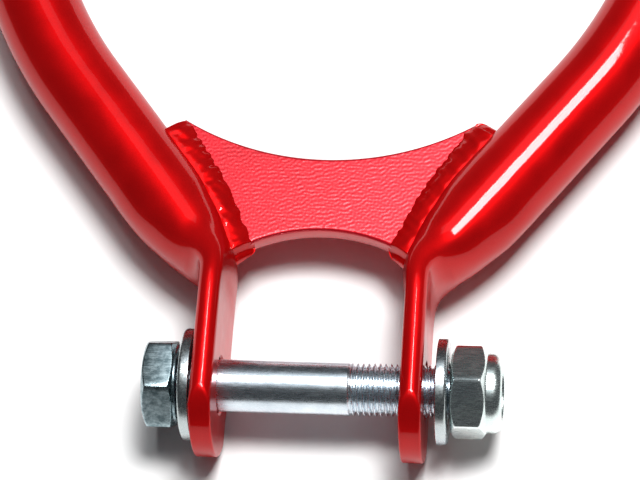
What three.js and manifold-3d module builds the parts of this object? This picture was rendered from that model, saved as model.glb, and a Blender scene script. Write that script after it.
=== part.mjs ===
// A tubular suspension control arm: two round steel tubes run from a pair of chassis bushings to a clevis.
// Each tube's outer end is pressed flat into an upright ear. A gusset plate is welded between the tubes,
// and an M12 bolt with two plain washers and a nylon-insert lock nut crosses the ears.
//
// Units are millimetres. +X runs along the clevis bolt from its head to its nut, +Y from the clevis to the
// chassis bushings, +Z up. The pieces are laid out about the middle of the bolt's axis, and the whole model
// is then moved so that the origin is at the bottom centre of its bounding box.

import * as THREE from "three";
import { mergeVertices } from "three/addons/utils/BufferGeometryUtils.js";
import Module from "manifold-3d";

const wasm = await Module();
wasm.setup();

// ---- Driving dimensions ----

const GAP = 0.3; // left between two welded or touching pieces
const DEG = Math.PI / 180;

const tube = {
  outerRadius: 10.35,
  wall: 2.5,
};

const ear = {
  centreX: 23.3, // middle of the ear's thickness
  thickness: 5, // two tube walls pressed together
  height: 30,
  endRadius: 16.2, // about the bolt hole
  holeRadius: 6.5,
};

const leg = {
  bendY: 27.6, // where the ear's plane and the tube's centre line cross
  bendRadius: 12,
  flareAngle: 37.7 * DEG, // of the tube to +Y
  kneeY: 75, // where the tube starts to turn back towards +Y
  kneeRadius: 110,
  rearAngle: 12 * DEG, // of the tube to +Y behind the knee
  flatEnd: -6, // start of the change from flat to round, along the centre line from the bend
  boreStart: 8,
  roundStart: 24, // end of that change
  riseEnd: 20, // of the tube's rise, short of the pivot
};

const gusset = {
  thickness: 4.8,
  rearMidY: 56.3,
  rearRadius: 65,
  rearHalfWidth: 34,
  frontMidY: 38,
  frontRadius: 38,
  frontHalfWidth: 15.5,
  toeX: 22.5, // the front corners run straight down to the ears
  toeY: 29.2,
  toeReach: 3.5, // of the front corners on into an ear
  rearReach: 8, // of the rear corners into a tube
};

const gussetBead = {
  radius: 4,
  from: 2.5, // along the centre line from the bend
  to: 38.5,
  endShare: 0.35, // of the radius at the bead's ends
};

const chassis = {
  pivotY: 245,
  housingRadius: 19.05,
  boreRadius: 15.875,
  housingLength: 38,
  housingChamfer: 0.8,
  beadRadius: 2.6,
};

const bushing = {
  flangeRadius: 18.6,
  flangeThickness: 4.5,
  flangeChamfer: 1,
  faceInset: 0.4,
  fit: 0.12, // radial clearance in the housing
  middleGap: 0.8, // between the two halves
};

const sleeve = {
  outerRadius: 9,
  boreRadius: 6.15,
  length: 47.6,
  chamfer: 0.5,
  fit: 0.15, // radial clearance in the bushing
};

const bolt = {
  radius: 5.95,
  headAcrossFlats: 19,
  headOuterX: -37.6,
  headBearingX: -29.9,
  headTurn: 25 * DEG, // of one corner of the hexagon from +Z towards -Y
  endX: 40.1,
  pointLength: 1.2,
};

const washer = {
  holeRadius: 6.5,
  thickness: 2.5,
  chamfer: 0.35,
  headSide: { x: -27.7, radius: 12.65 },
  nutSide: { x: 29.75, radius: 11.9 },
};

const nut = {
  acrossFlats: 19,
  innerX: 31.6,
  hexLength: 8,
  totalLength: 11.6,
  collarRadius: 9,
  boreRadius: 6.1,
  collarChamfer: 1.5,
  insertRadius: 7.6,
  insertLength: 2.6,
  insertDepth: 0.7, // below the collar's end
  insertChamfer: 0.2,
  seatClearance: 0.1, // radial, about the insert
  mouthRadius: 6.8,
  turn: 6 * DEG, // of one corner of the hexagon from +Z towards -Y
};

const ROUND = 32; // sides of a turned piece
const TUBE_SIDES = 20; // sides of a leg tube
const THROUGH = 20; // a cutter's reach past what it cuts
const OVERLAP = 1; // of shapes that are joined
const HEX_CHAMFER_SLOPE = Math.tan(28 * DEG);
const HEX_FACE_INSET = 0.4; // of the hexagons' end faces inside their flats
const UNIT_RING = 2; // radius of the ring that the housing's bead is bent from

// ---- Materials ----

const redPaint = { color: 0xb8121a, roughness: 0.22, metalness: 0.25 };
const weldPaint = { color: 0xa01016, roughness: 0.28, metalness: 0.25 };
const zincPlate = { color: 0xb9c3c4, roughness: 0.28, metalness: 1 };
const polyurethane = { color: 0x17181a, roughness: 0.5, metalness: 0 };
const nylon = { color: 0xe9ebe6, roughness: 0.45, metalness: 0 };

// ---- Turning geometry into solids and back ----

function solid(geometry) {
  const shape = geometry.clone();
  shape.deleteAttribute("normal");
  shape.deleteAttribute("uv");
  const merged = mergeVertices(shape, 1e-4);
  const mesh = new wasm.Mesh({
    numProp: 3,
    vertProperties: new Float32Array(merged.attributes.position.array),
    triVerts: new Uint32Array(merged.index.array),
  });
  return new wasm.Manifold(mesh);
}

function geometryOf(made) {
  const { vertProperties, triVerts } = made.getMesh();
  const geometry = new THREE.BufferGeometry();
  geometry.setAttribute("position", new THREE.BufferAttribute(vertProperties, 3));
  geometry.setIndex(new THREE.BufferAttribute(triVerts, 1));
  geometry.computeVertexNormals();
  return geometry;
}

function piece(name, shape, look) {
  const geometry = shape.isBufferGeometry ? shape : geometryOf(shape);
  const mesh = new THREE.Mesh(geometry, new THREE.MeshStandardMaterial(look));
  mesh.name = name;
  return mesh;
}

// A solid of revolution about X. The profile is a closed list of [x, radius] pairs.
function turned(profile, sides = ROUND) {
  const points = [...profile, profile[0]].map(([x, r]) => new THREE.Vector2(r, x));
  return new THREE.LatheGeometry(points, sides).rotateZ(-Math.PI / 2);
}

// A ring about X with chamfered outer corners.
function ring(from, to, innerRadius, outerRadius, chamfer) {
  return turned([
    [from, innerRadius],
    [from, outerRadius - chamfer],
    [from + chamfer, outerRadius],
    [to - chamfer, outerRadius],
    [to, outerRadius - chamfer],
    [to, innerRadius],
  ]);
}

// A plain cylinder along X.
function rod(from, to, radius) {
  const made = new THREE.CylinderGeometry(radius, radius, to - from, ROUND);
  return made.rotateZ(Math.PI / 2).translate((from + to) / 2, 0, 0);
}

// A hexagonal bar along X, with one corner turned from +Z towards -Y.
function hexBar(from, to, acrossFlats, turn) {
  const cornerRadius = acrossFlats / 2 / Math.cos(30 * DEG);
  const bar = new THREE.CylinderGeometry(cornerRadius, cornerRadius, to - from, 6);
  return bar
    .rotateZ(Math.PI / 2)
    .rotateX(turn)
    .translate((from + to) / 2, 0, 0);
}

// Bends a unit cylinder: place(station, angle, radius) gives each vertex, with radius 1 on the wall.
function loft(stations, sides, place) {
  const rows = stations.length - 1;
  const geometry = new THREE.CylinderGeometry(1, 1, 1, sides, rows);
  const position = geometry.attributes.position;
  const at = new THREE.Vector3();
  for (let i = 0; i < position.count; i++) {
    at.fromBufferAttribute(position, i);
    const station = stations[Math.round((0.5 - at.y) * rows)];
    const point = place(station, Math.atan2(-at.z, at.x), Math.hypot(at.x, at.z));
    position.setXYZ(i, point.x, point.y, point.z);
  }
  return geometry;
}

function steps(from, to, count) {
  return Array.from({ length: count }, (_, i) => from + ((to - from) * i) / count);
}

// ---- The leg's centre line, as seen from above ----

const legStartY = -ear.endRadius - 1;
const bendReach = leg.bendRadius * Math.tan(leg.flareAngle / 2);
const flareSlope = Math.tan(leg.flareAngle);
const kneeX = ear.centreX + flareSlope * (leg.kneeY - leg.bendY);
const kneeCentre = {
  x: kneeX - leg.kneeRadius * Math.cos(leg.flareAngle),
  y: leg.kneeY + leg.kneeRadius * Math.sin(leg.flareAngle),
};
const kneeEnd = {
  x: kneeCentre.x + leg.kneeRadius * Math.cos(leg.rearAngle),
  y: kneeCentre.y - leg.kneeRadius * Math.sin(leg.rearAngle),
};
const pivotX = kneeEnd.x + Math.tan(leg.rearAngle) * (chassis.pivotY - kneeEnd.y);

const centreLine = new THREE.Path()
  .moveTo(ear.centreX, legStartY)
  .lineTo(ear.centreX, leg.bendY - bendReach)
  .absarc(
    ear.centreX + leg.bendRadius,
    leg.bendY - bendReach,
    leg.bendRadius,
    Math.PI,
    Math.PI - leg.flareAngle,
    true,
  )
  .lineTo(kneeX, leg.kneeY)
  .absarc(kneeCentre.x, kneeCentre.y, leg.kneeRadius, -leg.flareAngle, -leg.rearAngle, false)
  .lineTo(pivotX, chassis.pivotY);
centreLine.arcLengthDivisions = 4000;

const legLength = centreLine.getLength();
const bendAt = leg.bendY - bendReach - legStartY + (leg.bendRadius * leg.flareAngle) / 2;
const kneeAt = bendAt + Math.hypot(kneeX - ear.centreX, leg.kneeY - leg.bendY);
const kneeLength = leg.kneeRadius * (leg.flareAngle - leg.rearAngle);
const rise = chassis.housingRadius - ear.height / 2;

// The centre line's point and outward normal, a distance along from the ear's end. The tube rises gently
// behind the knee, so that the housings stand on the same ground as the ears.
function frameAt(along) {
  const u = Math.min(along / legLength, 1);
  const point = centreLine.getPointAt(u);
  const tangent = centreLine.getTangentAt(u);
  const lift = rise * THREE.MathUtils.smoothstep(along, kneeAt, legLength - leg.riseEnd);
  return { x: point.x, y: point.y, z: lift, nx: tangent.y, ny: -tangent.x };
}

// One quarter of the flattened section, from the middle of its side to the crest of its fold.
function flatQuarter(share, inset) {
  const fold = ear.thickness / 2 - inset;
  const straight = ear.height / 2 - ear.thickness / 2;
  const reach = share * (straight + (fold * Math.PI) / 2);
  if (reach <= straight) return [fold, reach];
  const turn = (reach - straight) / fold;
  return [fold * Math.cos(turn), straight + fold * Math.sin(turn)];
}

// The tube's section at a point along the leg: flat at the ear, round beyond it.
function sectionAt(along, angle, inset) {
  const round = THREE.MathUtils.smoothstep(along - bendAt, leg.flatEnd, leg.roundStart);
  const share = Math.acos(Math.min(1, Math.abs(Math.cos(angle)))) / (Math.PI / 2);
  const [flatOut, flatUp] = flatQuarter(share, Math.min(inset, ear.thickness / 2 - 0.01));
  const radius = tube.outerRadius - inset;
  const out = THREE.MathUtils.lerp(flatOut, radius * Math.cos((share * Math.PI) / 2), round);
  const up = THREE.MathUtils.lerp(flatUp, radius * Math.sin((share * Math.PI) / 2), round);
  return [out * Math.sign(Math.cos(angle)), up * Math.sign(Math.sin(angle))];
}

function legPoint(along, angle, share, inset) {
  const frame = frameAt(along);
  const [out, up] = sectionAt(along, angle, inset);
  return new THREE.Vector3(
    frame.x + frame.nx * out * share,
    frame.y + frame.ny * out * share,
    frame.z + up * share,
  );
}

const legStations = [
  0,
  ...steps(bendAt + leg.flatEnd, bendAt + leg.roundStart, 12),
  bendAt + leg.roundStart,
  ...steps(kneeAt, kneeAt + kneeLength, 6),
  ...steps(kneeAt + kneeLength, legLength, 6),
  legLength,
];
const boreStations = [
  ...steps(bendAt + leg.boreStart, bendAt + leg.roundStart, 5),
  bendAt + leg.roundStart,
  ...legStations.filter((along) => along >= kneeAt),
];

// The right leg's outer shape, grown all round by `grow`.
function legBody(grow) {
  return solid(loft(legStations, TUBE_SIDES, (s, a, r) => legPoint(s, a, r, -grow)));
}

// ---- Cutters ----

function housingCutter() {
  const radius = chassis.housingRadius + GAP;
  const half = chassis.housingLength / 2 + THROUGH;
  return solid(rod(-half, half, radius).translate(pivotX, chassis.pivotY, rise));
}

// What the rounded end of the ear leaves away: a block ahead of the hole less the end's own round.
function earEndCutter() {
  const corner = Math.sqrt(ear.endRadius ** 2 - (ear.height / 2) ** 2);
  const block = new THREE.BoxGeometry(THROUGH, THROUGH, 2 * ear.height);
  block.translate(ear.centreX, -corner - THROUGH / 2, 0);
  const round = rod(-THROUGH / 2, THROUGH / 2, ear.endRadius).translate(ear.centreX, 0, 0);
  return solid(block).subtract(solid(round));
}

function earHoleCutter() {
  return solid(rod(-THROUGH / 2, THROUGH / 2, ear.holeRadius).translate(ear.centreX, 0, 0));
}

// ---- The arm's welded pieces, made for the right side ----

function legTube() {
  const bore = loft(boreStations, TUBE_SIDES, (s, a, r) => legPoint(s, a, r, tube.wall));
  return legBody(0)
    .subtract(solid(bore))
    .subtract(housingCutter())
    .subtract(earEndCutter())
    .subtract(earHoleCutter());
}

// The plate's outline reaches into the tubes. Both its long edges are hollow arcs.
function gussetOutline() {
  const rearAngle = Math.asin(gusset.rearHalfWidth / gusset.rearRadius);
  const frontAngle = Math.asin(gusset.frontHalfWidth / gusset.frontRadius);
  const rearCentreY = gusset.rearMidY + gusset.rearRadius;
  const frontCentreY = gusset.frontMidY - gusset.frontRadius;
  const rearCornerY = rearCentreY - gusset.rearRadius * Math.cos(rearAngle);
  const rootX = gusset.rearHalfWidth + gusset.rearReach * Math.cos(leg.flareAngle);
  const rootY = rearCornerY - gusset.rearReach * Math.sin(leg.flareAngle);
  const innerToeX = gusset.toeX + gusset.toeReach;
  const innerToeY = gusset.toeY + gusset.toeReach;
  const outline = new THREE.Shape();
  const rearLow = -Math.PI / 2 - rearAngle;
  const rearHigh = -Math.PI / 2 + rearAngle;
  outline.absarc(0, rearCentreY, gusset.rearRadius, rearLow, rearHigh, false);
  outline.lineTo(rootX, rootY);
  outline.lineTo(innerToeX, innerToeY);
  outline.lineTo(gusset.toeX, gusset.toeY);
  const frontLow = Math.PI / 2 - frontAngle;
  const frontHigh = Math.PI / 2 + frontAngle;
  outline.absarc(0, frontCentreY, gusset.frontRadius, frontLow, frontHigh, false);
  outline.lineTo(-gusset.toeX, gusset.toeY);
  outline.lineTo(-innerToeX, innerToeY);
  outline.lineTo(-rootX, rootY);
  outline.closePath();
  return outline;
}

function gussetSlab(thickness) {
  const slab = new THREE.ExtrudeGeometry(gussetOutline(), {
    depth: thickness,
    bevelEnabled: false,
    curveSegments: 14,
  });
  return solid(slab.translate(0, 0, -thickness / 2));
}

function gussetPlate(legs) {
  return legs.reduce((plate, body) => plate.subtract(body), gussetSlab(gusset.thickness));
}

// A fillet bead in the corner between the plate and a tube, on the upper (1) or lower (-1) face.
function gussetWeld(face) {
  const stations = [...steps(gussetBead.from, gussetBead.to, 10), gussetBead.to];
  const half = (gussetBead.to - gussetBead.from) / 2;
  const middle = (gussetBead.to + gussetBead.from) / 2;
  const bead = loft(stations, 12, (fromBend, angle, share) => {
    const along = fromBend + bendAt;
    const corner = legPoint(along, Math.PI, 1, 0);
    const round = Math.sqrt(Math.max(0, 1 - ((fromBend - middle) / half) ** 8));
    const radius = share * gussetBead.radius * THREE.MathUtils.lerp(gussetBead.endShare, 1, round);
    const frame = frameAt(along);
    return new THREE.Vector3(
      corner.x + frame.nx * radius * Math.cos(angle),
      corner.y + frame.ny * radius * Math.cos(angle),
      (face * gusset.thickness) / 2 + radius * Math.sin(angle),
    );
  });
  return solid(bead).subtract(legBody(GAP)).subtract(gussetSlab(gusset.thickness + 2 * GAP));
}

function housing() {
  const half = chassis.housingLength / 2;
  return ring(-half, half, chassis.boreRadius, chassis.housingRadius, chassis.housingChamfer);
}

// The bead follows the saddle line where the tube meets the housing.
function housingWeld() {
  const unit = new THREE.TorusGeometry(UNIT_RING, 1, 10, 28);
  const position = unit.attributes.position;
  const at = new THREE.Vector3();
  const tx = Math.sin(leg.rearAngle);
  const ty = Math.cos(leg.rearAngle);
  const r = tube.outerRadius;
  for (let i = 0; i < position.count; i++) {
    at.fromBufferAttribute(position, i);
    const angle = Math.atan2(at.y, at.x);
    const outward = Math.hypot(at.x, at.y) - UNIT_RING;
    const fall = Math.sqrt(chassis.housingRadius ** 2 - (r * Math.sin(angle)) ** 2);
    const back = (fall - r * Math.cos(angle) * tx) / ty + at.z * chassis.beadRadius;
    const side = (r + outward * chassis.beadRadius) * Math.cos(angle);
    const up = (r + outward * chassis.beadRadius) * Math.sin(angle);
    position.setXYZ(i, pivotX + ty * side - tx * back, chassis.pivotY - tx * side - ty * back, rise + up);
  }
  return solid(unit).subtract(legBody(GAP)).subtract(housingCutter());
}

// ---- The chassis bushings ----

// The half whose flange faces +X. The two halves nearly meet in the middle of the housing.
function bushingHalf() {
  const barrelRadius = chassis.boreRadius - bushing.fit;
  const boreRadius = sleeve.outerRadius + sleeve.fit;
  const end = chassis.housingLength / 2 + GAP;
  const face = end + bushing.flangeThickness - bushing.faceInset;
  return turned([
    [bushing.middleGap / 2, boreRadius],
    [bushing.middleGap / 2, barrelRadius],
    [end, barrelRadius],
    [end, bushing.flangeRadius],
    [face - bushing.flangeChamfer, bushing.flangeRadius],
    [face, bushing.flangeRadius - bushing.flangeChamfer],
    [face, boreRadius],
  ]);
}

function innerSleeve() {
  const half = sleeve.length / 2;
  return ring(-half, half, sleeve.boreRadius, sleeve.outerRadius, sleeve.chamfer);
}

// ---- The clevis bolt and what is on it ----

function chamferedHex(from, to, acrossFlats, turn, chamferFrom, chamferTo) {
  const corner = acrossFlats / 2 / Math.cos(30 * DEG);
  const flat = acrossFlats / 2 - HEX_FACE_INSET;
  const drop = (corner - flat) * HEX_CHAMFER_SLOPE;
  const envelope = turned([
    [from, 0],
    [from, chamferFrom ? flat : corner + OVERLAP],
    [from + (chamferFrom ? drop : 0), corner],
    [to - (chamferTo ? drop : 0), corner],
    [to, chamferTo ? flat : corner + OVERLAP],
    [to, 0],
  ]);
  return solid(hexBar(from, to, acrossFlats, turn)).intersect(solid(envelope));
}

function clevisBolt() {
  const { headOuterX, headBearingX, headAcrossFlats, headTurn } = bolt;
  const head = chamferedHex(headOuterX, headBearingX, headAcrossFlats, headTurn, true, false);
  const shank = turned([
    [headBearingX - OVERLAP, 0],
    [headBearingX - OVERLAP, bolt.radius],
    [bolt.endX - bolt.pointLength, bolt.radius],
    [bolt.endX, bolt.radius - bolt.pointLength],
    [bolt.endX, 0],
  ]);
  return head.add(solid(shank));
}

function plainWasher({ x, radius }) {
  const half = washer.thickness / 2;
  return ring(x - half, x + half, washer.holeRadius, radius, washer.chamfer);
}

function lockNut() {
  const hexEnd = nut.innerX + nut.hexLength;
  const end = nut.innerX + nut.totalLength;
  const insertEnd = end - nut.insertDepth;
  const insertStart = insertEnd - nut.insertLength - GAP;
  const hex = chamferedHex(nut.innerX, hexEnd, nut.acrossFlats, nut.turn, true, true);
  const collar = turned([
    [hexEnd - OVERLAP, 0],
    [hexEnd - OVERLAP, nut.collarRadius],
    [end - nut.collarChamfer, nut.collarRadius],
    [end, nut.collarRadius - nut.collarChamfer],
    [end, 0],
  ]);
  const bore = rod(nut.innerX - OVERLAP, end + OVERLAP, nut.boreRadius);
  const insertSeat = rod(insertStart, insertEnd + GAP, nut.insertRadius + nut.seatClearance);
  const mouth = rod(insertEnd, end + OVERLAP, nut.mouthRadius);
  return hex
    .add(solid(collar))
    .subtract(solid(bore))
    .subtract(solid(insertSeat))
    .subtract(solid(mouth));
}

function nylonInsert() {
  const end = nut.innerX + nut.totalLength - nut.insertDepth;
  return ring(end - nut.insertLength, end, nut.boreRadius, nut.insertRadius, nut.insertChamfer);
}

// ---- Assembly ----

const arm = new THREE.Group();

// Adds a right-hand piece and its mirror image on the left.
function addPair(name, shape, look) {
  const right = shape.isBufferGeometry ? solid(shape) : shape;
  const left = right.mirror([1, 0, 0]);
  arm.add(piece("left_" + name, left, look));
  arm.add(piece("right_" + name, right, look));
}

const rightClearance = legBody(GAP);

addPair("leg_tube", legTube(), redPaint);
arm.add(piece("gusset_plate", gussetPlate([rightClearance, rightClearance.mirror([1, 0, 0])]), redPaint));
addPair("gusset_weld_top", gussetWeld(1), weldPaint);
addPair("gusset_weld_bottom", gussetWeld(-1), weldPaint);
addPair("bushing_housing", housing().translate(pivotX, chassis.pivotY, rise), redPaint);
addPair("housing_weld", housingWeld(), weldPaint);

const outerHalf = bushingHalf();
const innerHalf = outerHalf.clone().rotateZ(Math.PI);
addPair("bushing_outer_half", outerHalf.translate(pivotX, chassis.pivotY, rise), polyurethane);
addPair("bushing_inner_half", innerHalf.translate(pivotX, chassis.pivotY, rise), polyurethane);
addPair("inner_sleeve", innerSleeve().translate(pivotX, chassis.pivotY, rise), zincPlate);

arm.add(piece("clevis_bolt", clevisBolt(), zincPlate));
arm.add(piece("head_washer", plainWasher(washer.headSide), zincPlate));
arm.add(piece("nut_washer", plainWasher(washer.nutSide), zincPlate));
arm.add(piece("lock_nut", lockNut(), zincPlate));
arm.add(piece("nylon_insert", nylonInsert(), nylon));

// The box runs from the ears' ends to the back of the housings, and stands on the ears' lower edges.
const frontY = -ear.endRadius;
const backY = chassis.pivotY + chassis.housingRadius;
arm.position.set(0, -(frontY + backY) / 2, ear.height / 2);

export default arm;
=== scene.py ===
import math

import bmesh
import bpy
import numpy as np
from mathutils import Matrix, Vector


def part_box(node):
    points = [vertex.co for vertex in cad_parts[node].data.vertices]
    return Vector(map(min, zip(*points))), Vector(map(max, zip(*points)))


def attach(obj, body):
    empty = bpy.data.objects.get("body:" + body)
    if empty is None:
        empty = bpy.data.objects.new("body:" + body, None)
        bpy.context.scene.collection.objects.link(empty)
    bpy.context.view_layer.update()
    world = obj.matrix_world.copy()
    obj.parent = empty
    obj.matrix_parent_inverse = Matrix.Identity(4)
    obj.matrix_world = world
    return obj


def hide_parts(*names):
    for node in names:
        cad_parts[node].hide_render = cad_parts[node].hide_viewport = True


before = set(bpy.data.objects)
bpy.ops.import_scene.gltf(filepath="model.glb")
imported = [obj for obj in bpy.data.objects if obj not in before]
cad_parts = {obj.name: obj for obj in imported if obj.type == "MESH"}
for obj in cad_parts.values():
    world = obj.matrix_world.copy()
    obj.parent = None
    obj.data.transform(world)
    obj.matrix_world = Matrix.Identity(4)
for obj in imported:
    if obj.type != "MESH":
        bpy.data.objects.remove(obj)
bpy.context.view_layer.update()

# Shapes are worked out in millimetres about the middle of the clevis bolt's axis, and placed in the
# record's frame by the CAD boxes: +X towards the nut, +Y towards the chassis, +Z up.
MM = 0.001


def centre_of(node):
    low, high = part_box(node)
    return np.array((low + high) / 2)


BOLT_AT = centre_of("clevis_bolt") * (0, 1, 1)
PIVOT = (centre_of("right_inner_sleeve") - BOLT_AT) / MM

# ---- Dimensions: the outer ones are the CAD's, and the rest stay inside it ----

TUBE_RADIUS = 10.35
TUBE_WALL = 2.5
EAR_X = 23.3
EAR_THICKNESS = 5.0
EAR_HEIGHT = 30.0
EAR_END_RADIUS = 16.2
EAR_HOLE_RADIUS = 6.5
BEND_Y = 27.6
BEND_RADIUS = 12.0
FLARE = math.radians(37.7)
KNEE_Y = 75.0
KNEE_RADIUS = 110.0
REAR = math.radians(12)
PLATE_HALF = 2.4
HOUSING_RADIUS = 19.05
HOUSING_HALF = 19.0
HOUSING_BORE = 15.875
SLEEVE_HALF = 23.8
SLEEVE_RADIUS = 9.0
SLEEVE_BORE = 6.15
THREAD_PITCH = 1.25
THREAD_DEPTH = 0.72
BOLT_RADIUS = 5.95
HEAD_OUTER = -37.6  # the bolt's head, bearing face, thread and tip, along X
HEAD_BEARING = -29.9
THREAD_FROM, THREAD_FULL = 8.1, 10.2
BOLT_END = 40.1
HEX_FLATS = 19.0
HEX_CHAMFER_RADIUS = 8.95
HEX_CHAMFER_SLOPE = math.tan(math.radians(30))
BOLT_TURN = math.radians(25)
NUT_TURN = math.radians(6)
NUT_START, NUT_HEX_END, NUT_END = 31.6, 39.6, 43.2
NYLON_END = 42.5
NYLON_LENGTH = 2.6
NYLON_BORE, NYLON_RADIUS = 6.15, 7.6
WASHER_HALF = 1.25
WASHER_BORE = 6.5
HEAD_WASHER_X, HEAD_WASHER_RADIUS = -27.7, 12.65
NUT_WASHER_X, NUT_WASHER_RADIUS = 29.75, 11.9


def smooth(low, high, value):
    """0 at or below low, 1 at or above high, and a smooth step between."""
    t = np.clip((value - low) / (high - low), 0, 1)
    return t * t * (3 - 2 * t)


def soft_above(value, floor, softness):
    """value where it is above floor, easing onto floor where it is below."""
    gap = (value - floor) / softness
    return floor + softness * np.where(gap > 20, gap, np.log1p(np.exp(np.minimum(gap, 20))))


def waves(seed, count, shortest, longest, *coordinates):
    """Smooth bounded noise: a sum of plane waves over one or two coordinates, in millimetres."""
    rng = np.random.default_rng(seed)
    total = 0
    for _ in range(count):
        length = rng.uniform(shortest, longest)
        heading = rng.uniform(0, 2 * math.pi)
        phase = rng.uniform(0, 2 * math.pi)
        parts = [math.cos(heading), math.sin(heading)] if len(coordinates) == 2 else [1]
        reach = sum(c * p for c, p in zip(coordinates, parts))
        total = total + np.sin(2 * math.pi * reach / length + phase)
    return total / math.sqrt(count)


# ---- Making meshes ----

SHARP_ANGLE = 35  # degrees above which an edge isn't shaded smooth
MERGE_DISTANCE = 1e-7


def add_object(name, points, faces, side=1, smooth_angle=SHARP_ANGLE):
    """A mesh object from points in millimetres. side -1 makes the left-hand mirror image."""
    placed = np.array(points, float).reshape(-1, 3) * (side * MM, MM, MM) + BOLT_AT
    mesh = bpy.data.meshes.new(name)
    mesh.from_pydata(placed.tolist(), [], faces)
    work = bmesh.new()
    work.from_mesh(mesh)
    bmesh.ops.remove_doubles(work, verts=work.verts, dist=MERGE_DISTANCE)
    bmesh.ops.recalc_face_normals(work, faces=work.faces)
    work.to_mesh(mesh)
    work.free()
    mesh.shade_smooth()
    mesh.set_sharp_from_angle(angle=math.radians(smooth_angle))
    made = bpy.data.objects.new(name, mesh)
    bpy.context.scene.collection.objects.link(made)
    return made


def ring_faces(rows, columns, close_rows=False):
    """Quads between rows of points, each row closed on itself."""
    faces = []
    for i in range(rows if close_rows else rows - 1):
        a = i * columns
        b = (i + 1) % rows * columns
        for j in range(columns):
            k = (j + 1) % columns
            faces.append((a + j, a + k, b + k, b + j))
    return faces


CORNER_SHARE = 0.45  # the most of a profile's side that one rounded corner takes up


def rounded(profile, radius, steps=4):
    """A closed profile of (x, r) points with each corner replaced by a small curve."""
    made = []
    count = len(profile)
    radii = radius if isinstance(radius, (list, tuple)) else [radius] * count
    for i in range(count):
        before, here, after = (np.array(profile[k % count], float) for k in (i - 1, i, i + 1))
        if radii[i] <= 0:
            made.append(here)
            continue
        to_before, to_after = before - here, after - here
        reach_before = min(radii[i], CORNER_SHARE * np.linalg.norm(to_before))
        reach_after = min(radii[i], CORNER_SHARE * np.linalg.norm(to_after))
        start = here + to_before / np.linalg.norm(to_before) * reach_before
        end = here + to_after / np.linalg.norm(to_after) * reach_after
        for t in np.linspace(0, 1, steps + 1):
            made.append((1 - t) ** 2 * start + 2 * t * (1 - t) * here + t * t * end)
    return np.array(made)


def spun(profile, sides, at=(0, 0, 0)):
    """Rows of points of a closed profile turned about X."""
    angles = np.linspace(0, 2 * math.pi, sides, endpoint=False)
    x = np.broadcast_to(profile[None, :, 0], (sides, len(profile)))
    y = np.cos(angles)[:, None] * profile[None, :, 1]
    z = np.sin(angles)[:, None] * profile[None, :, 1]
    return np.stack([x, y, z], axis=-1) + np.array(at)


def add_turned(name, profile, at=(0, 0, 0), side=1, sides=96, radius=0.3, steps=4):
    """A ring about X from a closed profile of (x, r) corners."""
    rows = spun(rounded(profile, radius, steps), sides, at)
    faces = ring_faces(rows.shape[0], rows.shape[1], close_rows=True)
    return add_object(name, rows, faces, side)


def cut(target, *cutters):
    """Takes the cutters away from the target for good."""
    for cutter in cutters:
        modifier = target.modifiers.new("cut", "BOOLEAN")
        modifier.object = cutter
        modifier.operation = "DIFFERENCE"
        modifier.solver = "MANIFOLD"
    bpy.context.view_layer.update()
    evaluated = target.evaluated_get(bpy.context.evaluated_depsgraph_get())
    made = bpy.data.meshes.new_from_object(evaluated)
    target.modifiers.clear()
    target.data = made
    for cutter in cutters:
        bpy.data.objects.remove(cutter)
    made.shade_smooth()
    made.set_sharp_from_angle(angle=math.radians(SHARP_ANGLE))
    normals = target.modifiers.new("normals", "WEIGHTED_NORMAL")
    normals.keep_sharp = True


# ---- The leg's centre line and section ----

HALF_BEND = BEND_RADIUS * FLARE / 2
BEND_START_Y = BEND_Y - BEND_RADIUS * math.tan(FLARE / 2)
BEND_END = np.array(
    [
        EAR_X + BEND_RADIUS * (1 - math.cos(FLARE)),
        BEND_START_Y + BEND_RADIUS * math.sin(FLARE),
    ]
)
KNEE_X = EAR_X + math.tan(FLARE) * (KNEE_Y - BEND_Y)
KNEE_AT = HALF_BEND + (KNEE_Y - BEND_END[1]) / math.cos(FLARE)
KNEE_LENGTH = KNEE_RADIUS * (FLARE - REAR)
KNEE_CENTRE = np.array(
    [KNEE_X - KNEE_RADIUS * math.cos(FLARE), KNEE_Y + KNEE_RADIUS * math.sin(FLARE)]
)
KNEE_END = KNEE_CENTRE + KNEE_RADIUS * np.array([math.cos(REAR), -math.sin(REAR)])
LEVEL_END = 20.0  # the leg's last stretch, which no longer rises
LEG_END = KNEE_AT + KNEE_LENGTH + (PIVOT[1] - KNEE_END[1]) / math.cos(REAR)


def leg_frame(u):
    """The right leg's centre line at distances u from the middle of its bend.

    Gives its points and its outward normals.
    """
    u = np.asarray(u, float)
    turn = np.clip((u + HALF_BEND) / BEND_RADIUS, 0, FLARE)
    back = np.clip((u - KNEE_AT) / KNEE_RADIUS, 0, FLARE - REAR)
    heading = turn - back
    x = EAR_X + BEND_RADIUS * (1 - np.cos(turn))
    y = BEND_START_Y + BEND_RADIUS * np.sin(turn) + np.minimum(u + HALF_BEND, 0)
    straight = np.clip(u, HALF_BEND, KNEE_AT) - HALF_BEND
    x = x + straight * math.sin(FLARE)
    y = y + straight * math.cos(FLARE)
    x = x + KNEE_RADIUS * (np.cos(FLARE - back) - math.cos(FLARE))
    y = y + KNEE_RADIUS * (math.sin(FLARE) - np.sin(FLARE - back))
    last = np.maximum(u - KNEE_AT - KNEE_LENGTH, 0)
    x = x + last * math.sin(REAR)
    y = y + last * math.cos(REAR)
    z = PIVOT[2] * smooth(KNEE_AT, LEG_END - LEVEL_END, u)
    return np.stack([x, y, z], -1), np.stack([np.cos(heading), -np.sin(heading), 0 * u], -1)


FLAT_END = -6.0  # where the ear starts to open into the round tube
OPENING_LENGTH = 30.0
OPENING_CURVE = 1.7  # how much of the width opens early
CREST_FROM, CREST_TO = -8.0, 11.0  # where the height falls from the ear's to the tube's
THINNEST_FOLD = 0.05


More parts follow.
